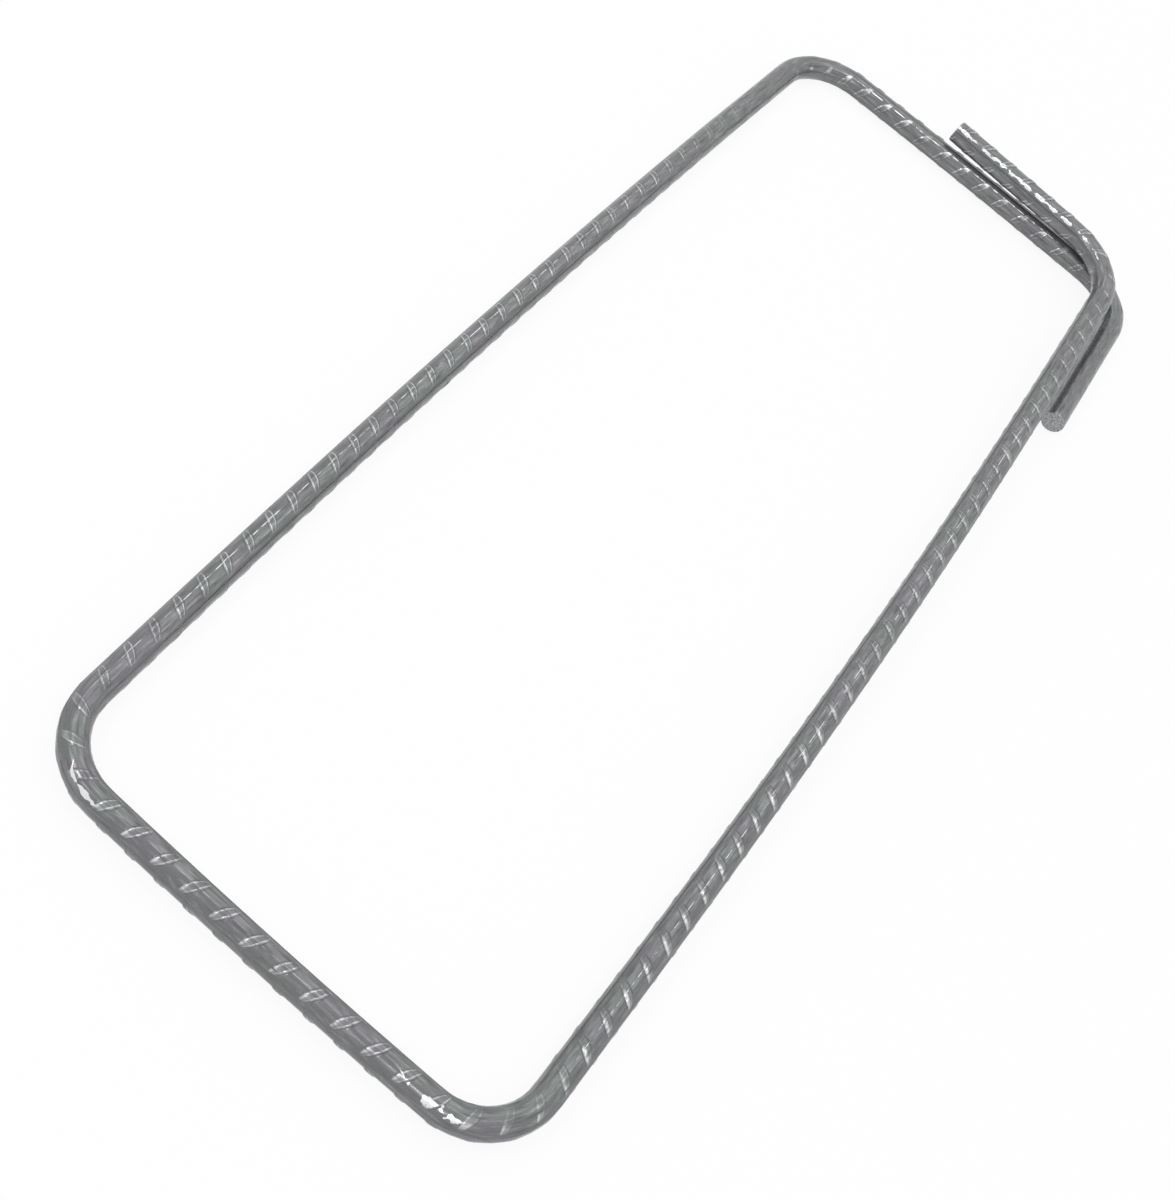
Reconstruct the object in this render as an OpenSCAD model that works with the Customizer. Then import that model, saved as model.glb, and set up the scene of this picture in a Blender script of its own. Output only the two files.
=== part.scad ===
// Rebar stirrup: one ribbed bar bent into a closed rectangular tie. It lies flat on a floor.
// Its two ends lap at the far right corner: one tail runs on top of the far short side,
// and the other lies on the floor outside the right long side.

/* [Bar] */
// Nominal diameter of the bar
bar_d = 8; // [6:1:12]

/* [Loop] */
// Width over the two long sides, outside to outside
loop_w = 144; // [110:1:300]
// Length over the two short sides, outside to outside
loop_l = 404; // [300:1:700]
// How far the left long side springs outward at its middle
left_bow = 2.9; // [0.5:0.1:5]
// How far the right long side springs outward at its middle
right_bow = 3.9; // [0.5:0.1:6]
// How far each short side springs outward at its middle
end_bow = 0.9; // [0.3:0.1:1.5]

/* [Bends] */
// Inside radius of the two near corners
near_bend_r = 16; // [12:0.5:24]
// Inside radius of the far left corner
far_bend_r = 18; // [12:0.5:28]
// Inside radius of the bend that leads to the top tail
top_bend_r = 19; // [12:0.5:28]
// Inside radius of the bend that leads to the floor tail
floor_bend_r = 15.5; // [12:0.5:24]

/* [Lap] */
// Clear gap between the top tail and the far short side under it
lap_gap = 0.8; // [0.3:0.1:2]
// How far the right long side leans in at its far end
top_lean = 5.1; // [0:0.1:10]
// Length of the top tail, from the sharp corner of its centreline
top_tail = 74; // [50:1:100]
// Angle by which the top tail splays outward
top_splay = 3.3; // [0:0.1:6]
// Clear gap, seen from above, between the floor tail's corner and the right long side's end
floor_gap = 1.6; // [1:0.1:8]
// Length of the floor tail, from the sharp corner of its centreline
floor_tail = 76.5; // [50:0.5:120]
// Angle by which the floor tail splays outward
floor_splay = 2.1; // [0:0.1:6]

/* [Hidden] */

bar_r = bar_d / 2;
// Share of a side's straight stretch that its bow takes up
bow_share = 0.8;
// A straight run is this much thinner in radius than a bend, and enters it by the depth, so they fuse
run_step = 0.02;
run_depth = 0.3;
// Height of the top tail's centreline over that of the sides on the floor
lap_rise = bar_d + lap_gap;
// Centreline sizes of the loop
mid_w = loop_w - bar_d;
mid_l = loop_l - bar_d;
round_fn = 64;
sweep_fn = 256;

near_left = [0, 0, 0];
near_right = [mid_w, 0, 0];
far_left = [0, mid_l, 0];
top_corner = [mid_w - top_lean, mid_l, lap_rise];
floor_corner = [top_corner.x + bar_d + floor_gap, mid_l, 0];
top_tip = top_corner + top_tail * [-cos(top_splay), sin(top_splay), 0];
floor_tip = floor_corner + floor_tail * [sin(floor_splay), -cos(floor_splay), 0];

function unit(v) = v / norm(v);
// Corner in the middle of a side, so far out that the rounded side bulges by its bow
function crown(a, b, bow, outward) = (a + b) / 2 + outward * bow / (1 - bow_share / 2);

// The bar's centreline as sharp corners, from the tip of the top tail to the tip of the floor tail
corners = [
    top_tip,
    top_corner,
    crown(top_corner, near_right, right_bow, [1, 0, 0]),
    near_right,
    crown(near_right, near_left, end_bow, [0, -1, 0]),
    near_left,
    crown(near_left, far_left, left_bow, [-1, 0, 0]),
    far_left,
    crown(far_left, floor_corner, end_bow, [0, 1, 0]),
    floor_corner,
    floor_tip
];
last = len(corners) - 1;
// Inside radius of the bend at each corner; the crowns and the tips have none
inside_r = [0, top_bend_r, 0, near_bend_r, 0, near_bend_r, 0, far_bend_r, 0, floor_bend_r, 0];

function before(k) = unit(corners[k - 1] - corners[k]);
function after(k) = unit(corners[k + 1] - corners[k]);
// Half of the angle between the two runs that meet at corner k
function half_angle(k) = acos(before(k) * after(k)) / 2;
// Distance from corner k to where its bend starts and ends
function tangent_l(k) =
    k == 0 || k == last ? 0
    : inside_r[k] > 0 ? (inside_r[k] + bar_r) / tan(half_angle(k))
    : bow_share * min(
        norm(corners[k - 1] - corners[k]) - tangent_l(k - 1),
        norm(corners[k + 1] - corners[k]) - tangent_l(k + 1)
    );
// Centreline radius of the bend at corner k
function bend_r(k) = tangent_l(k) * tan(half_angle(k));
function bend_start(k) = corners[k] + (k == 0 ? [0, 0, 0] : tangent_l(k) * before(k));
function bend_end(k) = corners[k] + (k == 0 ? [0, 0, 0] : tangent_l(k) * after(k));
function bend_centre(k) =
    corners[k] + bend_r(k) / sin(half_angle(k)) * unit(before(k) + after(k));

// Middle of each bend on the centreline: the outermost points of the sides
bend_mids = [for (k = [1 : last - 1])
    bend_centre(k) + bend_r(k) * unit(corners[k] - bend_centre(k))];
left_edge = min([for (p = bend_mids) p.x]) - bar_r;
right_edge = floor_tip.x + bar_r * cos(floor_splay);
near_edge = min([for (p = bend_mids) p.y]) - bar_r;
far_edge = top_tip.y + bar_r * cos(top_splay);
origin = [(left_edge + right_edge) / 2, (near_edge + far_edge) / 2, -bar_r];

// Straight run of bar from bend k - 1 to bend k, entering both; a tip is cut square
module run(k) {
    along = -before(k);
    start = bend_end(k - 1) - (k == 1 ? 0 : run_depth) * along;
    end = bend_start(k) + (k == last ? 0 : run_depth) * along;
    side = unit(cross(along, [0, 0, 1]));
    up = cross(side, along);
    multmatrix([
        [side.x, -up.x, along.x, start.x],
        [side.y, -up.y, along.y, start.y],
        [side.z, -up.z, along.z, start.z],
        [0, 0, 0, 1]
    ])
    cylinder(r = bar_r - run_step, h = norm(end - start), $fn = round_fn);
}

// Bend at corner k, tangent to the runs on both sides of it
module bend(k) {
    centre = bend_centre(k);
    radial = unit(bend_start(k) - centre);
    forward = -before(k);
    axis = cross(radial, forward);
    multmatrix([
        [radial.x, forward.x, axis.x, centre.x],
        [radial.y, forward.y, axis.y, centre.y],
        [radial.z, forward.z, axis.z, centre.z],
        [0, 0, 0, 1]
    ])
    rotate_extrude(angle = 180 - 2 * half_angle(k), $fn = sweep_fn)
    translate([bend_r(k), 0]) circle(r = bar_r, $fn = round_fn);
}

module stirrup() {
    color("slategray")
    translate(-origin)
    union() {
        for (k = [1 : last]) run(k);
        for (k = [1 : last - 1]) bend(k);
    }
}

stirrup();
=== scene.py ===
import math

import bmesh
import bpy
from bpy.props import FloatProperty, FloatVectorProperty, IntProperty, PointerProperty
from mathutils import Matrix, Vector, noise


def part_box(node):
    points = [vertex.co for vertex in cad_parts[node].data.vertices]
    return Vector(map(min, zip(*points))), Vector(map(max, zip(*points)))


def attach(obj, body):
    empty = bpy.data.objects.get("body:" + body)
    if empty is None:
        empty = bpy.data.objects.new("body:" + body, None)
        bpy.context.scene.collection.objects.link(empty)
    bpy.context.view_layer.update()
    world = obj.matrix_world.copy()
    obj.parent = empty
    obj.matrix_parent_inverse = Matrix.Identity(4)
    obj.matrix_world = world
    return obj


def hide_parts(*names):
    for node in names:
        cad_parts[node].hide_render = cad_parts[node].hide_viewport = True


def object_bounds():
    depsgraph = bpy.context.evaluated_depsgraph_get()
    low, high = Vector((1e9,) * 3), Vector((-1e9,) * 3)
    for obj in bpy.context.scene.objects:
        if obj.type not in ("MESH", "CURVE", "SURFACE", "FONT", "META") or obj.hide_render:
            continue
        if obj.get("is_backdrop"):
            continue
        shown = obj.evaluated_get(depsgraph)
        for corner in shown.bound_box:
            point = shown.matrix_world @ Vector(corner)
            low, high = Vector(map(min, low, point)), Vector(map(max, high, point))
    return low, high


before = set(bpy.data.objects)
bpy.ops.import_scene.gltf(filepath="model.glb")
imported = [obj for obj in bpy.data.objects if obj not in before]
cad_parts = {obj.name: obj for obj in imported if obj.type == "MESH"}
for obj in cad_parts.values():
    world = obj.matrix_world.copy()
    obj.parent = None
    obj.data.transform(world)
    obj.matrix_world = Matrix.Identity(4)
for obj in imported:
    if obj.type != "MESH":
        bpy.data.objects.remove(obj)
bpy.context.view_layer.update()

bl_info = {
    "name": "Rebar Stirrup",
    "version": (1, 0, 0),
    "blender": (4, 5, 0),
    "location": "3D View > Sidebar > Stirrup",
    "description": "A stirrup bent from ribbed bar, in a plain studio",
    "category": "Object",
}

MM = 0.001
PIECE = "ribbed_bar"
PLACE = "bar_place"
# Point layers: worn rib edges with painted glints; dust with painted shade; the painted highlight
WEAR_AND_GLINT = "rib_wear_and_glint"
DUST_AND_PAINTED_SHADE = "rib_dust_and_painted_shade"
HIGHLIGHT_LINE = "painted_highlight_line"
UP = Vector((0, 0, 1))
ALONG = Vector((1, 0, 0))
# Ribs that are made beyond each end of the bar, and are cut off
SPARE_RIBS = 4
# The bar is taken to have three rows of ribs, a third of a turn apart. For each: the sense of its
# slant; how far its middle lies along the bar, counted in what the slant gives in a third of a
# turn; and its share of the height. The first two rows run on as one screw, and the last is turned
# the other way. The slants and the shares are assumed.
ROWS = ((1, 0.0, 1.0), (1, -1.0, 0.55), (-1, -0.5, 0.9))
# How the skin changes along the bar, at places in mm from the top tail's tip: the turn in degrees
# of the first row's middle, from the top towards the inside; how far in mm the ribs have crept
# along; the share of their height that is left; the turn in degrees and the half width in mm of
# the painted highlight, a bright line along the bar; how bright the painted glints on the ribs'
# outer tips are; which of a rib's long edges is brighter, worn and with a painted glint, from -1,
# behind, to 1, ahead; and how much painted shade darkens the skin outside the highlight line.
WANDER = (
    (0, 0, 3.0, 1.0, 37, 0.8, 0.2, 0.3, 0.0),
    (52, 0, 2.4, 1.0, 39, 0.8, 0.2, 0.3, 0.0),
    (66, -1, 3.2, 0.6, 40, 0.3, 0.2, 0.6, 0.0),
    (72, -1, 3.6, 0.5, 40, 0.0, 0.2, 0.8, 0.0),
    (86, -2, 4.6, 0.6, 4, 0.0, 0.1, 0.5, 0.0),
    (140, -2, 3.4, 1.0, 4, 0.0, 0.3, 0.4, 0.0),
    (150, -2, 3.0, 1.0, 4, 0.15, 0.4, 0.4, 0.0),
    (200, -2, 2.0, 1.0, 4, 0.15, 0.4, 0.4, 0.0),
    (285, -2, 2.2, 1.0, 4, 0.15, 0.5, 0.5, 0.0),
    (315, -2, 2.3, 1.0, 3, 0.15, 0.8, 0.9, 0.05),
    (430, -2, 2.6, 1.0, 3, 0.15, 0.8, 0.9, 0.1),
    (445, -4, 2.8, 0.3, -10, 0.0, 0.8, 0.5, 0.1),
    (461, -9, 1.8, 0.3, -32, 0.0, 0.6, 0.0, 0.1),
    (465, -10, 1.6, 0.4, -32, 0.0, 0.6, 0.0, 0.1),
    (467, -11, 1.4, 0.6, -32, 1.6, 0.6, 0.0, 0.15),
    (474, -12, 1.0, 0.7, -30, 1.4, 0.6, 0.0, 0.15),
    (481, -12, 0.8, 0.8, -24, 0.5, 0.6, 0.0, 0.2),
    (484, -12, 0.6, 1.0, -8, 0.0, 0.8, 0.1, 0.2),
    (490, -12, 0.5, 1.0, -8, 0.07, 0.9, 0.1, 0.2),
    (565, -12, 0.0, 1.0, -8, 0.07, 0.9, 0.1, 0.2),
    (571, -12, -0.1, 0.9, -42, 0.0, 0.9, 0.1, 0.2),
    (573, -11, -0.2, 0.8, -42, 0.9, 0.9, 0.1, 0.2),
    (580, -11, -0.4, 0.6, -42, 0.7, 0.5, 0.1, 0.15),
    (584, -11, -0.5, 0.5, -13, 0.0, 0.3, 0.0, 0.15),
    (600, -10, -0.6, 0.6, -13, 0.1, 0.1, 0.0, 0.15),
    (640, -10, 0.6, 1.0, -13, 0.17, 0.0, 0.0, 0.15),
    (700, -10, 2.0, 1.0, -13, 0.17, 0.0, 0.0, 0.15),
    (790, -10, 3.2, 1.0, -13, 0.15, 0.0, 0.0, 0.05),
    (860, -12, 3.4, 0.9, -13, 0.12, 0.0, 0.0, 0.0),
    (900, -16, 3.3, 0.3, -13, 0.0, 0.0, 0.0, 0.0),
    (960, -40, 3.1, 0.05, 33, 0.0, 0.3, -0.5, 0.0),
    (977, -50, 3.1, 0.4, 33, 0.0, 0.8, -0.5, 0.0),
    (984, -57, 3.1, 0.9, 33, 0.25, 1.0, -0.5, 0.0),
    (1030, -57, 3.2, 1.0, 33, 0.22, 1.0, -0.5, 0.0),
    (1075, -57, 2.4, 1.0, 33, 0.2, 0.9, -0.5, 0.0),
    (1095, -58, 2.2, 0.5, 33, 0.0, 0.4, 0.0, 0.0),
    (1115, -60, 2.2, 0.15, 33, 0.0, 0.0, 0.0, 0.0),
    (1181, -60, 2.2, 0.15, 33, 0.0, 0.0, 0.0, 0.0),
)
# Uneven relief: the size of the uneven places along the bar, how many of them the bar's radius
# spans, by how much of its height a rib varies and of its width a fold, and how much finer the
# edges vary
STRAY_L = 3 * MM
STRAY_ROUND = 2
STRAY_HEIGHT = 0.3
STRAY_FOLD = 0.6
EDGE_GRAIN = 1.7
# Ramps, as (start, slope): up and down over a rib's outer part, in shares of its reach, and towards
# the bar's top, by the cosine there, for the painted tip glints; with the height that is left, for
# the dust and painted shade along the folds; and outward from the painted highlight line, by the
# sine there, for the painted shade
TIP_RISE = (0.2, 5)
TIP_FALL = (0.95, -4)
OPEN_SIDE = (0.15, 5)
HEIGHT_LEFT = (0.5, 2)
OUTSIDE_LINE = (0, -4)
# The painted glint, a bright stretch of a rib's leading edge, in shares of its reach, and what it
# takes from the worn brightness beside it
GLINT_MIDDLE = 0.25
GLINT_HALF = 0.65
GLINT_TAKES = 0.6
# Painted glint kept by a tip on the dimmer edge, and how worn the cut ends' rims are
DULL_TIP = 0.3
RIM_WEAR = 0.25
# Dust on the smooth strip between two rows, where the strip starts in shares of a rib's reach, and
# what is left on the bar's outer side of that dust and of the painted shade along the folds
STRIP_DUST = 0.3
STRIP_FROM = 1.1
OUTER_DUST_AND_SHADE = 0.3


def linear(hex_colour):
    """An sRGB hex colour as linear RGBA."""
    def channel(text):
        value = int(text, 16) / 255
        return value / 12.92 if value <= 0.04045 else ((value + 0.055) / 1.055) ** 2.4
    return (*(channel(hex_colour[i : i + 2]) for i in (1, 3, 5)), 1.0)


def length(name, description, default):
    """A size in millimetres, kept in metres."""
    return FloatProperty(name=name, description=description, default=default * MM, unit="LENGTH",
                         precision=5)


def angle(name, description, default):
    """An angle in degrees, kept in radians."""
    return FloatProperty(name=name, description=description, default=math.radians(default),
                         subtype="ANGLE")


def colour(name, description, default):
    """A colour from its sRGB hex value."""
    return FloatVectorProperty(name=name, description=description, default=linear(default),
                               subtype="COLOR", size=4, min=0, max=1)


# Sizes and colours


class StirrupShape(bpy.types.PropertyGroup):
    """How the bar is bent: the sizes of the CAD part"""

    bar_d: length("Bar", "Nominal diameter of the bar", 8)
    loop_w: length("Width", "Width over the two long sides", 144)
    loop_l: length("Length", "Length over the two short sides", 404)
    left_bow: length("Left bow", "How far the left side springs outward", 2.9)
    right_bow: length("Right bow", "How far the right side springs outward", 3.9)
    end_bow: length("End bow", "How far each short side springs outward", 0.9)
    bow_share: FloatProperty(name="Bow share", description="Share of a side that its bow takes up",
                             default=0.8, subtype="FACTOR", min=0.1, max=1)
    near_bend_r: length("Near bends", "Inside radius of the two near corners", 16)
    far_bend_r: length("Far left bend", "Inside radius of the far left corner", 18)
    top_bend_r: length("Top bend", "Inside radius of the top tail's bend", 19)
    floor_bend_r: length("Floor bend", "Inside radius of the floor tail's bend", 15.5)
    lap_gap: length("Lap gap", "Clear gap between the top tail and the side under it", 0.8)
    top_lean: length("Lean", "How far the right side leans in at its far end", 5.1)
    top_tail: length("Top tail", "Length of the top tail from its sharp corner", 74)
    top_splay: angle("Top splay", "Angle by which the top tail splays outward", 3.3)
    floor_gap: length("Floor gap", "Gap between the floor tail's corner and the right side", 1.6)
    floor_tail: length("Floor tail", "Length of the floor tail from its sharp corner", 76.5)
    floor_splay: angle("Floor splay", "Angle by which the floor tail splays outward", 2.1)


class RibPattern(bpy.types.PropertyGroup):
    """The relief that the rolls leave on the bar"""

    core_r: length("Core", "Radius of the bar between its ribs", 3.9)
    pitch: length("Pitch", "Distance from rib to rib", 8.88)
    first: length("First rib", "Distance from the top tail's tip to the first row's first rib", 1.44)
    height: length("Height", "Height of a rib's middle over the core", 0.33)
    top_w: length("Top width", "Width of a rib's flat top in its middle", 1.9)
    flank: angle("Flank", "Steepness of a rib's flanks", 36)
    soft: length("Rounding", "Rounding of a rib's edges", 0.12)
    slant: angle("Slant", "How far the ribs turn from straight across", 32)
    reach: angle("Reach", "Angle round the bar from a rib's middle to its tip", 46)
    tip_w: FloatProperty(name="Tip width", description="Share of its width that a rib has at its tips",
                         default=0.5, subtype="FACTOR", min=0, max=1)
    steps: IntProperty(name="Steps", description="Steps round the bar from tip to tip of a rib",
                       default=8, min=4, max=16)
    fold_height: length("Fold height", "Height of the thin fold between two rows", 0.09)
    fold_half: angle("Fold width", "Half of the angle that a fold takes up", 4.5)
    uneven: length("Unevenness", "How far the ribs' edges stray from their place", 0.1)
    end_bevel: length("End bevel", "Rounding where the bar was cut off", 0.5)


class SteelFinish(bpy.types.PropertyGroup):
    """The colours and grain of the rolled steel"""

    skin_blue: colour("Skin, blue", "Rolled skin where it is bluish", "#79787C")
    skin_green: colour("Skin, green", "Rolled skin where it is greenish", "#767A78")
    # Also the colour of the painted shade along the folds and outside the highlight line
    dust_and_painted_shade: colour("Hollows", "Dust and scale at the feet of the ribs", "#3C3D40")
    scuff: colour("Scuffs", "Skin that is scuffed lengthwise", "#A4A6A8")
    # Also the colour of the painted highlight line and of the painted glints on the ribs
    bright: colour("Worn edges", "Steel rubbed bright on the edges of the ribs", "#E8EAEC")
    patch: length("Patches", "Size of the tinted patches", 12)
    dash: length("Dashes", "Size of the gaps in the rubbed line", 3)
    streak_l: length("Streak length", "Length of the roll marks", 5)
    streak_w: length("Streak width", "Width of the roll marks", 0.7)
    pit: length("Pits", "Size of the pits in the skin", 0.3)
    highlight_edge: length("Line's edge", "Width over which the rubbed line fades out", 0.15)
    relief: length("Relief", "Depth of the pits and the roll marks", 0.04)


class StudioSetup(bpy.types.PropertyGroup):
    """Camera, lamps and floor"""

    azimuth: angle("Azimuth", "Direction of the view, from +Y towards -X", 8.566)
    elevation: angle("Elevation", "Height of the view over the horizon", 49.366)
    roll: angle("Roll", "Turn of the camera about its own axis", 34.104)
    aim: FloatVectorProperty(name="Aim", description="Floor point that the camera's axis meets",
                             default=(-39.88 * MM, -53.6 * MM), size=2, subtype="XYZ", unit="LENGTH")
    distance: length("Distance", "From that point to the camera", 526.87)
    lens: FloatProperty(name="Lens", description="Focal length in mm", default=58.123)
    shift: FloatVectorProperty(name="Shift", description="Shift of the lens",
                               default=(0.0813, -0.0906), size=2)
    white: colour("White", "Floor and background", "#FFFFFF")
    floor_r: length("Floor", "Radius of the floor", 4000)
    box_low: FloatVectorProperty(name="Softbox, low", description="Softbox's near left corner",
                                 default=(-0.8, 0.08, 1.0), size=3, subtype="XYZ", unit="LENGTH")
    box_high: FloatVectorProperty(name="Softbox, high", description="Softbox's far right corner",
                                  default=(0.3, 1.35, 1.0), size=3, subtype="XYZ", unit="LENGTH")
    box_light: FloatProperty(name="Softbox light", description="Brightness of the softbox, 1 is white",
                             default=0.4)
    rim_light: FloatProperty(name="Rim light", description="Brightness of the softbox's rim",
                             default=1.5)
    rim_w: length("Rim", "Width of the softbox's bright rim", 120)
    front_light: FloatProperty(name="Front light", description="Brightness of the lamps in front",
                               default=8.0)
    front_w: length("Front lamps", "Side of each lamp in front", 250)
    right_lamp: FloatVectorProperty(name="Right lamp", description="Floor point under the right lamp",
                                    default=(0.3, -0.8), size=2, subtype="XYZ", unit="LENGTH")
    left_lamp: FloatVectorProperty(name="Left lamp", description="Floor point under the left lamp",
                                   default=(-0.6, -0.53), size=2, subtype="XYZ", unit="LENGTH")
    sky_light: FloatProperty(name="Sky light", description="Brightness of the surroundings' light",
                             default=0.65)
    paper_glow: FloatProperty(name="Paper glow", description="Share of plain white in the paper",
                              default=0.9, subtype="FACTOR", min=0, max=1)


# The bar's centreline


def corner_list(shape):
    """The centreline as sharp corners, each with the inside radius of its bend or None, from the
    tip of the top tail to the tip of the floor tail. The near left corner is at the origin."""
    width = shape.loop_w - shape.bar_d
    run = shape.loop_l - shape.bar_d
    near_left = Vector((0, 0, 0))
    near_right = Vector((width, 0, 0))
    far_left = Vector((0, run, 0))
    top = Vector((width - shape.top_lean, run, shape.bar_d + shape.lap_gap))
    floor = Vector((top.x + shape.bar_d + shape.floor_gap, run, 0))
    top_way = Vector((-math.cos(shape.top_splay), math.sin(shape.top_splay), 0))
    floor_way = Vector((math.sin(shape.floor_splay), -math.cos(shape.floor_splay), 0))

    def crown(a, b, bow, outward):
        return (a + b) / 2 + Vector(outward) * bow / (1 - shape.bow_share / 2)

    return [
        (top + shape.top_tail * top_way, None),
        (top, shape.top_bend_r),
        (crown(top, near_right, shape.right_bow, (1, 0, 0)), None),
        (near_right, shape.near_bend_r),
        (crown(near_right, near_left, shape.end_bow, (0, -1, 0)), None),
        (near_left, shape.near_bend_r),
        (crown(near_left, far_left, shape.left_bow, (-1, 0, 0)), None),
        (far_left, shape.far_bend_r),
        (crown(far_left, floor, shape.end_bow, (0, 1, 0)), None),
        (floor, shape.floor_bend_r),
        (floor + shape.floor_tail * floor_way, None),
    ]


def bends(shape):
    """(corner, way in, way out, tangent length, radius) of the bend at each inner corner."""
    corners = corner_list(shape)
    points = [point for point, _ in corners]
    ways = [(b - a).normalized() for a, b in zip(points, points[1:])]
    halves = [(-a).angle(b) / 2 for a, b in zip(ways, ways[1:])]
    tangents = [0.0] * len(corners)
    for k, (_, inside_r) in enumerate(corners):
        if inside_r:
            tangents[k] = (inside_r + shape.bar_d / 2) / math.tan(halves[k - 1])
    for k in range(1, len(corners) - 1):
        if not corners[k][1]:
            free = min((points[k] - points[j]).length - tangents[j] for j in (k - 1, k + 1))
            tangents[k] = shape.bow_share * free
    return [
        (points[k], ways[k - 1], ways[k], tangents[k], tangents[k] * math.tan(halves[k - 1]))
        for k in range(1, len(corners) - 1)
    ]


def centreline(shape):
    """Stretches of the bar in order: (where it starts along the bar, length, point at a distance).
    The last is a function that gives the point and the direction there."""
    def straight(start, way):
        return lambda s: (start + s * way, way)

    def arc(start, way, centre, radius):
        radial = (start - centre).normalized()

        def place(s):
            turn = s / radius
            point = centre + radius * (math.cos(turn) * radial + math.sin(turn) * way)
            return point, math.cos(turn) * way - math.sin(turn) * radial
        return place

    corners = corner_list(shape)
    stretches = []
    at = 0.0
    start = corners[0][0]
    for corner, way_in, way_out, tangent, radius in bends(shape):
        begin = corner - tangent * way_in
        stretches.append((at, (begin - start).length, straight(start, way_in)))
        at += stretches[-1][1]
        centre = corner + (way_out - way_in).normalized() * math.hypot(tangent, radius)
        turn = way_in.angle(way_out)
        stretches.append((at, radius * turn, arc(begin, way_in, centre, radius)))
        at += stretches[-1][1]
        start = corner + tangent * way_out
    end = corners[-1][0]
    stretches.append((at, (end - start).length, straight(start, way_out)))
    return stretches


def on_centreline(stretches, s):
    """Point and direction at the distance s along the bar."""
    at, _, place = next(item for item in reversed(stretches) if item[0] <= s or item is stretches[0])
    return place(s - at)


# The ribbed bar


def ring_points(ribs):
    """Points round the bar, from fold to fold and row by row: (angle from the first row's middle,
    angle from their own row's middle, shift along the bar, the row's share of the height). A full
    turn ends where it began."""
    half = math.pi / len(ROWS)
    screw = math.tan(ribs.slant) * ribs.core_r
    steps = [ribs.reach * (2 * k / ribs.steps - 1) for k in range(ribs.steps + 1)]
    rows = []
    for row, (sense, middle, share) in enumerate(ROWS):
        rows.append([])
        for local in (-half + ribs.fold_half, *steps, half - ribs.fold_half):
            inside = max(-ribs.reach, min(ribs.reach, local))
            shift = screw * (2 * half * middle - sense * inside)
            rows[-1].append((2 * half * row + local, local, shift, share))
    ring = []
    for row, points in enumerate(rows):
        fold_shift = (rows[row - 1][-1][2] + points[0][2]) / 2
        ring += [(2 * half * row - half, -half, fold_shift, 0.0), *points]
    return [*ring, (ring[0][0] + 2 * math.pi, half, ring[0][2], 0.0)]


def rib_section(ribs, around):
    """Half of a rib's section, at an angle round the bar from its middle: (offset, lift, wear,
    hollow) from the valley to the rib's middle line. The rib thins out to its tip at its reach."""
    share = max(0.0, 1 - (around / ribs.reach) ** 2)
    lift = ribs.height * share
    top = ribs.top_w / 2 * (ribs.tip_w + (1 - ribs.tip_w) * share)
    foot = top + lift / math.tan(ribs.flank) + ribs.soft
    return [
        (ribs.pitch / 2, 0.0, 0.0, 0.0),  # middle of the valley
        (foot + 5 * ribs.soft, 0.0, 0.0, 0.0),  # clean edge of the valley
        (foot + 2 * ribs.soft, 0.0, 0.0, 0.3 * share),  # dust beside the foot
        (foot, 0.12 * lift, 0.0, 0.8 * share),  # foot, where most dust lies
        # The edge is worn bright, and its brightness also stands in for the rib edges' highlights:
        # painted highlight
        (top + ribs.soft, 0.8 * lift, 0.55 * share ** 0.5, 0.2 * share),  # upper flank
        (top - 0.3 * ribs.soft, lift, 0.8 * share ** 0.5, 0.0),  # edge, rubbed bright
        (top - 2.0 * ribs.soft, lift, 0.0, 0.0),  # flat top
        (0.0, lift, 0.0, 0.0),  # middle line
    ]


def ramp(value, start, slope):
    """Goes from 0 at its start up to 1. A negative slope goes up towards smaller values."""
    return max(0.0, min(1.0, slope * (value - start)))


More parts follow.
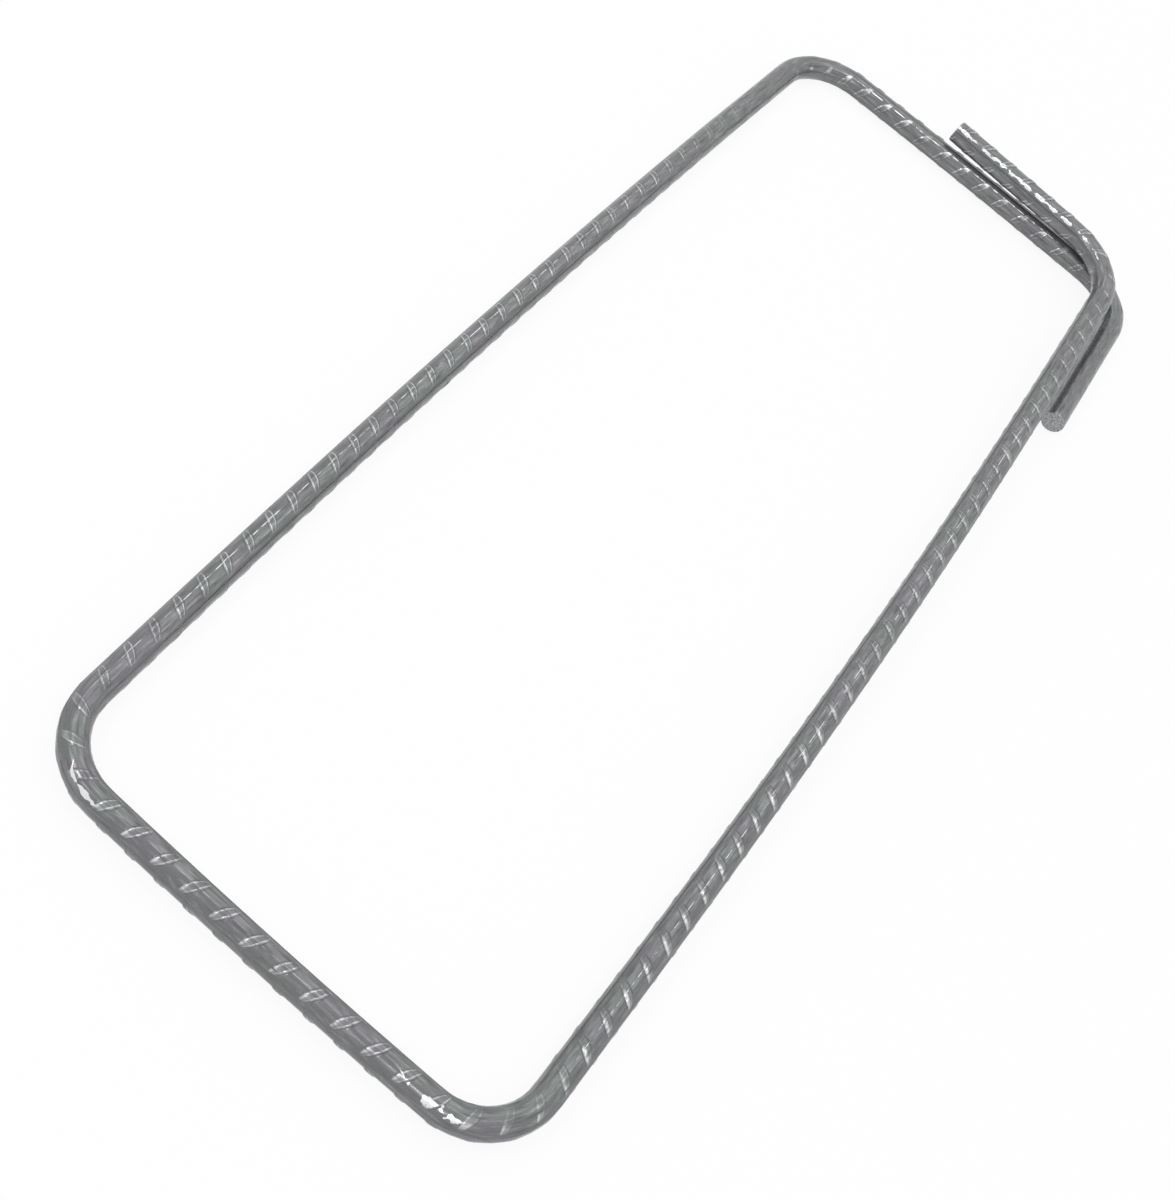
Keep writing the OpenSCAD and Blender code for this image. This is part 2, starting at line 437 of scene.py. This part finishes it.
def straight_bar(bm, ribs, total, layers):
    """Straight ribbed bar along +X from 0 to its length, made of a sheet rolled into a tube."""
    wear_and_glint, dust_and_painted_shade, line = layers
    ring = ring_points(ribs)
    sections = [rib_section(ribs, local) for _, local, _, _ in ring]
    half = len(sections[0]) - 1
    edge_row = half + 3
    top_rows = range(half - 2, half + 3)
    count = math.ceil(total / ribs.pitch) + 2 * SPARE_RIBS
    across = len(ring) - 1
    bmesh.ops.create_grid(bm, x_segments=2 * half * count, y_segments=across, size=1)
    for v in bm.verts:
        rib, within = divmod(round((v.co.x + 1) * half * count), 2 * half)
        index = round((v.co.y + 1) / 2 * across)
        angle, local, shift, pressed = ring[index]
        offset, lift, worn, deep = sections[index][min(within, 2 * half - within)]
        ahead = within > half
        x = ribs.first + (rib - SPARE_RIBS) * ribs.pitch + shift + (offset if ahead else -offset)
        turn, creep, left, highlight_turn, highlight_half, tips, edge, shade = wander(x)
        x += creep * MM
        angle += math.radians(turn)
        place = Vector((x / STRAY_L, STRAY_ROUND * math.sin(angle), STRAY_ROUND * math.cos(angle)))
        stray = noise.noise(place)
        kept = left * (1 + STRAY_HEIGHT * stray)
        share = pressed * kept
        fold = 1.0 if abs(local) > math.pi / len(ROWS) - ribs.fold_half / 2 else 0.0
        radius = ribs.core_r + lift * share + ribs.fold_height * fold
        angle += STRAY_FOLD * ribs.fold_half * stray * fold
        x += ribs.uneven * noise.noise(place * EDGE_GRAIN) * (1 if lift else 0)
        v.co = Vector((x, radius * math.sin(angle), radius * math.cos(angle)))
        # Worn rib edges, brighter on the edge that faces the lamps, with a painted glint on it
        wear_and_highlight = worn * min(1.0, kept) * min(1.0, 1 + (edge if ahead else -edge))
        out = -local / ribs.reach
        if ahead and edge > 0:
            glint = kept * edge * max(0.0, 1 - ((out - GLINT_MIDDLE) / GLINT_HALF) ** 2)
            shows = lift and within <= edge_row
            wear_and_highlight = max(wear_and_highlight * (1 - GLINT_TAKES * edge), glint if shows else 0.0)
        # Painted glints on the ribs' outer tips, only towards the bar's top
        tip = min(ramp(out, *TIP_RISE), ramp(out, *TIP_FALL))
        tip *= 1.0 if ahead or edge <= 0 else DULL_TIP
        top = 1.0 if within in top_rows else 0.0
        v[wear_and_glint] = max(wear_and_highlight, tips * tip * top * ramp(math.cos(angle), *OPEN_SIDE))
        # Painted shade along the folds and dust on the smooth strips, fainter on the bar's outer side
        strip = STRIP_DUST if abs(local) > STRIP_FROM * ribs.reach else 0.0
        facing = OUTER_DUST_AND_SHADE if math.sin(angle) < 0 else 1.0
        seam = max(fold, strip) * ramp(left, *HEIGHT_LEFT) * facing
        # The painted highlight line round the bar, and the painted shade outward of it
        off = angle - math.radians(highlight_turn)
        darker = shade * ramp(math.sin(off), *OUTSIDE_LINE)
        # Dust at the ribs' feet, with painted shade along the folds and outside the highlight line
        v[dust_and_painted_shade] = max(deep * min(1.0, share), seam, darker)
        v[line] = Vector((radius * math.sin(off), radius * math.cos(off), highlight_half * MM))
    bmesh.ops.remove_doubles(bm, verts=bm.verts, dist=0.001 * MM)
    for at, outward in ((0.0, -1), (total, 1)):
        cut_end(bm, ribs, at, outward, wear_and_glint)


def cut_end(bm, ribs, at, outward, wear_and_glint):
    """Cuts the bar square at a place along it, rounds the rim and closes the end."""
    near = -SPARE_RIBS * ribs.pitch
    for depth in (1.0, 0.6, 0.3, 0.1, 0.0):
        faces = [f for f in bm.faces if (f.verts[0].co.x - at) * outward > near]
        # A dictionary keeps its order, as a set doesn't, so each run numbers the points alike
        edges = dict.fromkeys(e for f in faces for e in f.edges)
        verts = dict.fromkeys(v for f in faces for v in f.verts)
        bmesh.ops.bisect_plane(bm, geom=[*verts, *edges, *faces], dist=1e-7,
                               plane_co=ALONG * (at - outward * depth * ribs.end_bevel),
                               plane_no=ALONG * outward, clear_outer=depth == 0)
    for v in bm.verts:
        depth = abs(v.co.x - at) / ribs.end_bevel
        if depth < 1:
            inset = ribs.end_bevel * (1 - math.sqrt(1 - (1 - depth) ** 2))
            keep = 1 - inset / math.hypot(v.co.y, v.co.z)
            v.co.y *= keep
            v.co.z *= keep
            v[wear_and_glint] = RIM_WEAR
    bmesh.ops.edgeloop_fill(bm, edges=[e for e in bm.edges if e.is_boundary
                                       and abs(e.verts[0].co.x - at) < 0.01 * MM])


def wander(x):
    """Turn, creep, share left, the painted highlight line's turn and half width, the painted tip glints,
    the brighter edge and the painted shade, at a distance along the bar."""
    at = max(0.0, min(x / MM, WANDER[-1][0]))
    before, after = next(pair for pair in zip(WANDER, WANDER[1:]) if at <= pair[1][0])
    share = (at - before[0]) / (after[0] - before[0])
    return [a + (b - a) * share for a, b in zip(before[1:], after[1:])]


def bend_bar(bm, stretches, place):
    """Bends the straight bar along its centreline, and keeps each point's old place in a layer."""
    for v in bm.verts:
        v[place] = v.co
        point, way = on_centreline(stretches, v.co.x)
        inner = way.cross(UP).normalized()
        v.co = point + v.co.y * inner + v.co.z * inner.cross(way)


def to_frame(stretches, total, shape):
    """From the near left corner's frame to the CAD part's, by its box."""
    low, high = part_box("stirrup")
    steps = 4000
    slack = 0.1 * MM
    points = [on_centreline(stretches, total * k / steps)[0] for k in range(steps + 1)]
    least = Vector([min(p[i] for p in points) for i in range(3)])
    most = Vector([max(p[i] for p in points) for i in range(3)])
    bar_r = Vector((1, 1, 1)) * shape.bar_d / 2
    if max(map(abs, (high - low) - (most - least + 2 * bar_r))) > slack:
        raise RuntimeError("the bar's sizes don't agree with the CAD part's box")
    return low + bar_r - least


# Materials


def add(tree, kind, inputs, **settings):
    """Adds a node, sets its properties and sets or links its inputs, which go by name or number."""
    made = tree.nodes.new("ShaderNode" + kind)
    for name, value in settings.items():
        setattr(made, name, value)
    for key, value in inputs.items():
        if isinstance(value, bpy.types.NodeSocket):
            tree.links.new(value, made.inputs[key])
        else:
            made.inputs[key].default_value = value
    return made


def new_material(name):
    """An empty node material with its output node."""
    material = bpy.data.materials.new(name)
    material.use_nodes = True
    material.node_tree.nodes.clear()
    return material, material.node_tree


def rolled_steel(finish):
    """Cold-rolled ribbed steel, as it leaves the rolls: a smooth blue-grey skin with a satin
    gloss, streaked along the bar, matt in the hollows, worn bright on the ribs' edges, with a painted
    highlight line, painted glints and painted shade."""
    material, tree = new_material("cold_rolled_steel")
    place = add(tree, "Attribute", {}, attribute_name=PLACE).outputs["Vector"]
    wear_and_glint = add(tree, "Attribute", {}, attribute_name=WEAR_AND_GLINT).outputs["Fac"]
    dust_and_painted_shade = add(tree, "Attribute", {}, attribute_name=DUST_AND_PAINTED_SHADE).outputs["Fac"]
    grain = (1 / finish.streak_l, 1 / finish.streak_w, 1 / finish.streak_w)
    patches = add(tree, "TexNoise", {"Vector": place, "Scale": 1 / finish.patch, "Detail": 3.0})
    drawn = add(tree, "Mapping", {"Vector": place, "Scale": grain})
    streaks = add(tree, "TexNoise", {"Vector": drawn.outputs[0], "Scale": 1.0, "Detail": 4.0})
    pits = add(tree, "TexNoise", {"Vector": place, "Scale": 1 / finish.pit, "Detail": 2.0})
    tone = add(tree, "MapRange", {"Value": patches.outputs[0], "From Min": 0.42, "From Max": 0.58})
    tint = add(tree, "Mix", {0: tone.outputs[0], 6: finish.skin_blue, 7: finish.skin_green},
               data_type="RGBA")
    dirt = add(tree, "MapRange", {"Value": streaks.outputs[0], "From Min": 0.47, "From Max": 0.3,
                                  "To Max": 0.5})
    scuffs = add(tree, "MapRange", {"Value": streaks.outputs[0], "From Min": 0.53, "From Max": 0.7,
                                    "To Max": 0.5})
    broken = add(tree, "MapRange", {"Value": pits.outputs[0], "From Min": 0.3, "From Max": 0.5})
    deep = add(tree, "Math", {0: dust_and_painted_shade, 1: broken.outputs[0]}, operation="MULTIPLY")
    dark = add(tree, "Math", {0: dirt.outputs[0], 1: deep.outputs[0]}, operation="MAXIMUM")
    scuffed = add(tree, "Mix", {0: scuffs.outputs[0], 6: tint.outputs[2], 7: finish.scuff},
                  data_type="RGBA")
    # Dirt streaks, dust and painted shade take the dark colour
    dull = add(tree, "Mix", {0: dark.outputs[0], 6: scuffed.outputs[2], 7: finish.dust_and_painted_shade},
               data_type="RGBA")
    rub = add(tree, "MapRange", {"Value": streaks.outputs[0], "From Min": 0.3, "From Max": 0.55})
    edges = add(tree, "Math", {0: wear_and_glint, 1: rub.outputs[0]}, operation="MULTIPLY")
    # The painted highlight: a bright line along the bar, broken into dashes, on its own side only
    from_highlight = add(tree, "Attribute", {}, attribute_name=HIGHLIGHT_LINE).outputs["Vector"]
    line = add(tree, "SeparateXYZ", {0: from_highlight})
    off = add(tree, "Math", {0: line.outputs["X"]}, operation="ABSOLUTE")
    dashes = add(tree, "TexNoise", {"Vector": place, "Scale": 1 / finish.dash, "Detail": 2.0})
    held = add(tree, "MapRange", {"Value": dashes.outputs[0], "From Min": 0.42, "From Max": 0.6,
                                  "To Min": 1.0, "To Max": -0.1})
    inside = add(tree, "Math", {0: line.outputs["Z"], 1: held.outputs[0]}, operation="MULTIPLY")
    kept = add(tree, "Math", {0: inside.outputs[0], 1: off.outputs[0]}, operation="SUBTRACT")
    band = add(tree, "MapRange", {"Value": kept.outputs[0], "From Min": 0.0,
                                  "From Max": finish.highlight_edge, "To Max": 0.9})
    front = add(tree, "Math", {0: line.outputs["Y"], 1: 0.0}, operation="GREATER_THAN")
    highlighted = add(tree, "Math", {0: band.outputs[0], 1: front.outputs[0]}, operation="MULTIPLY")
    # Worn edges with painted glints, and the painted highlight line, take the bright colour
    wear_and_highlight = add(tree, "Math", {0: edges.outputs[0], 1: highlighted.outputs[0]}, operation="MAXIMUM")
    skin = add(tree, "Mix", {0: wear_and_highlight.outputs[0], 6: dull.outputs[2], 7: finish.bright},
               data_type="RGBA")
    rough = add(tree, "MapRange", {"Value": streaks.outputs[0], "From Min": 0.3, "From Max": 0.7,
                                   "To Min": 0.26, "To Max": 0.16})
    matt = add(tree, "Math", {0: dark.outputs[0], 1: 0.3, 2: rough.outputs[0]},
               operation="MULTIPLY_ADD")
    relief = add(tree, "Math", {0: pits.outputs[0], 1: streaks.outputs[0]}, operation="ADD")
    bump = add(tree, "Bump", {"Height": relief.outputs[0], "Strength": 0.15,
                              "Distance": finish.relief})
    # Mill scale is taken to cover about half of the skin; it is bare metal where the edges are worn,
    # and also under the painted highlight line and the painted glints
    bare = add(tree, "MapRange", {"Value": wear_and_highlight.outputs[0], "To Min": 0.5})
    shader = add(tree, "BsdfPrincipled", {"Base Color": skin.outputs[2], "Metallic": bare.outputs[0],
                                          "Roughness": matt.outputs[0], "Normal": bump.outputs[0]})
    add(tree, "OutputMaterial", {"Surface": shader.outputs[0]})
    return material


def seen_directly(tree):
    """1 for camera, glossy and transmission rays, which all see the plain white background."""
    path = add(tree, "LightPath", {})
    glossy = add(tree, "Math", {0: path.outputs["Is Camera Ray"], 1: path.outputs["Is Glossy Ray"]},
                 operation="MAXIMUM")
    return add(tree, "Math", {0: glossy.outputs[0], 1: path.outputs["Is Transmission Ray"]},
               operation="MAXIMUM").outputs[0]


def white_floor(studio):
    """Matt white studio paper: plain white to the eye, and it keeps the soft shadow."""
    material, tree = new_material("white_paper")
    paper = add(tree, "BsdfDiffuse", {"Color": studio.white})
    glow = add(tree, "Emission", {"Color": studio.white, "Strength": 1.0})
    share = add(tree, "Math", {0: seen_directly(tree), 1: studio.paper_glow}, operation="MULTIPLY")
    mixed = add(tree, "MixShader", {0: share.outputs[0], 1: paper.outputs[0], 2: glow.outputs[0]})
    add(tree, "OutputMaterial", {"Surface": mixed.outputs[0]})
    return material


# Studio


def place_camera(studio):
    """Camera at the angle of view, turned about its own axis."""
    data = bpy.data.cameras.new("camera")
    data.lens = studio.lens
    data.shift_x, data.shift_y = studio.shift
    data.clip_start = 0.01
    data.clip_end = 50
    camera = bpy.data.objects.new("camera", data)
    level = math.cos(studio.elevation)
    forward = Vector((-math.sin(studio.azimuth) * level, math.cos(studio.azimuth) * level,
                      -math.sin(studio.elevation)))
    flat_right = forward.cross(UP).normalized()
    upright = flat_right.cross(forward)
    right = math.cos(studio.roll) * flat_right + math.sin(studio.roll) * upright
    up = right.cross(forward)
    turn = Matrix((right, up, -forward)).transposed().to_4x4()
    camera.matrix_world = Matrix.Translation(Vector((*studio.aim, 0)) - studio.distance * forward) @ turn
    bpy.context.scene.collection.objects.link(camera)
    bpy.context.scene.camera = camera


def add_lamp(name, place, size, brightness, aim=None):
    """Rectangular lamp of a brightness, at a place. It shines down, or towards its aim."""
    data = bpy.data.lights.new(name, "AREA")
    data.shape = "RECTANGLE"
    data.size, data.size_y = size
    data.energy = brightness * math.pi * size[0] * size[1]
    lamp = bpy.data.objects.new(name, data)
    lamp.location = place
    if aim:
        lamp.rotation_euler = (aim - place).to_track_quat("-Z", "Y").to_euler()
    bpy.context.scene.collection.objects.link(lamp)


def hang_lamps(studio):
    """One large softbox over the far half of the stirrup, with a brighter rim on three sides; two
    small lamps in front, one on each side of the camera."""
    low = Vector(studio.box_low)
    high = Vector(studio.box_high)
    rim = studio.rim_w
    wide = high.x - low.x
    deep = high.y - low.y
    middle = (low + high) / 2
    add_lamp("softbox", middle, (wide, deep), studio.box_light)
    aside = Vector(((wide + rim) / 2, 0, 0))
    add_lamp("left_rim", middle - aside, (rim, deep), studio.rim_light)
    add_lamp("right_rim", middle + aside, (rim, deep), studio.rim_light)
    add_lamp("near_rim", middle - Vector((0, (deep + rim) / 2, 0)), (wide, rim), studio.rim_light)
    front_size = (studio.front_w, studio.front_w)
    for name in ("right_lamp", "left_lamp"):
        place = Vector((*getattr(studio, name), low.z))
        add_lamp(name, place, front_size, studio.front_light, Vector())


def light_world(studio):
    """Even white surroundings, at full white for what sees them directly."""
    world = bpy.data.worlds.new("studio")
    world.use_nodes = True
    tree = world.node_tree
    tree.nodes.clear()
    strength = add(tree, "MapRange", {"Value": seen_directly(tree), "To Min": studio.sky_light,
                                      "To Max": 1.0})
    sky = add(tree, "Background", {"Color": studio.white, "Strength": strength.outputs[0]})
    add(tree, "OutputWorld", {"Surface": sky.outputs[0]})
    bpy.context.scene.world = world


# Operators


class STIRRUP_OT_ribbed_bar(bpy.types.Operator):
    """Ribbed steel bar, bent like the CAD part's plain one, which it stands for"""

    bl_idname = "stirrup.ribbed_bar"
    bl_label = "Ribbed bar"

    def execute(self, context):
        scene = context.scene
        stretches = centreline(scene.stirrup_shape)
        total = stretches[-1][0] + stretches[-1][1]
        bm = bmesh.new()
        place = bm.verts.layers.float_vector.new(PLACE)
        layers = (bm.verts.layers.float.new(WEAR_AND_GLINT), bm.verts.layers.float.new(DUST_AND_PAINTED_SHADE),
                  bm.verts.layers.float_vector.new(HIGHLIGHT_LINE))
        straight_bar(bm, scene.stirrup_ribs, total, layers)
        bend_bar(bm, stretches, place)
        bmesh.ops.translate(bm, verts=bm.verts, vec=to_frame(stretches, total, scene.stirrup_shape))
        bmesh.ops.recalc_face_normals(bm, faces=bm.faces)
        mesh = bpy.data.meshes.new(PIECE)
        bm.to_mesh(mesh)
        bm.free()
        mesh.shade_smooth()
        mesh.set_sharp_from_angle(angle=math.radians(50))
        mesh.materials.append(rolled_steel(scene.stirrup_finish))
        bar = bpy.data.objects.new(PIECE, mesh)
        scene.collection.objects.link(bar)
        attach(bar, "root")
        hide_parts("stirrup")
        return {"FINISHED"}


class STIRRUP_OT_studio(bpy.types.Operator):
    """White floor and surroundings, soft lamps and the camera"""

    bl_idname = "stirrup.studio"
    bl_label = "Studio"

    def execute(self, context):
        studio = context.scene.stirrup_studio
        low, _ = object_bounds()
        bm = bmesh.new()
        bmesh.ops.create_circle(bm, cap_ends=True, segments=64, radius=studio.floor_r,
                                matrix=Matrix.Translation((0, 0, low.z)))
        mesh = bpy.data.meshes.new("floor")
        bm.to_mesh(mesh)
        bm.free()
        mesh.materials.append(white_floor(studio))
        floor = bpy.data.objects.new("floor", mesh)
        context.scene.collection.objects.link(floor)
        floor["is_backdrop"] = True
        light_world(studio)
        hang_lamps(studio)
        place_camera(studio)
        context.scene.view_settings.view_transform = "Standard"
        return {"FINISHED"}


class STIRRUP_PT_maker(bpy.types.Panel):
    """Buttons that build the stirrup and its studio"""

    bl_idname = "STIRRUP_PT_maker"
    bl_label = "Stirrup"
    bl_space_type = "VIEW_3D"
    bl_region_type = "UI"
    bl_category = "Stirrup"

    def draw(self, context):
        for operator in (STIRRUP_OT_ribbed_bar, STIRRUP_OT_studio):
            self.layout.operator(operator.bl_idname)


PROPERTIES = {
    "stirrup_shape": StirrupShape,
    "stirrup_ribs": RibPattern,
    "stirrup_finish": SteelFinish,
    "stirrup_studio": StudioSetup,
}
CLASSES = (*PROPERTIES.values(), STIRRUP_OT_ribbed_bar, STIRRUP_OT_studio, STIRRUP_PT_maker)


def register():
    for cls in CLASSES:
        bpy.utils.register_class(cls)
    for name, group in PROPERTIES.items():
        setattr(bpy.types.Scene, name, PointerProperty(type=group))


def unregister():
    for name in PROPERTIES:
        delattr(bpy.types.Scene, name)
    for cls in reversed(CLASSES):
        bpy.utils.unregister_class(cls)


def main():
    register()
    bpy.ops.stirrup.ribbed_bar()
    bpy.ops.stirrup.studio()


if __name__ == "__main__":
    main()
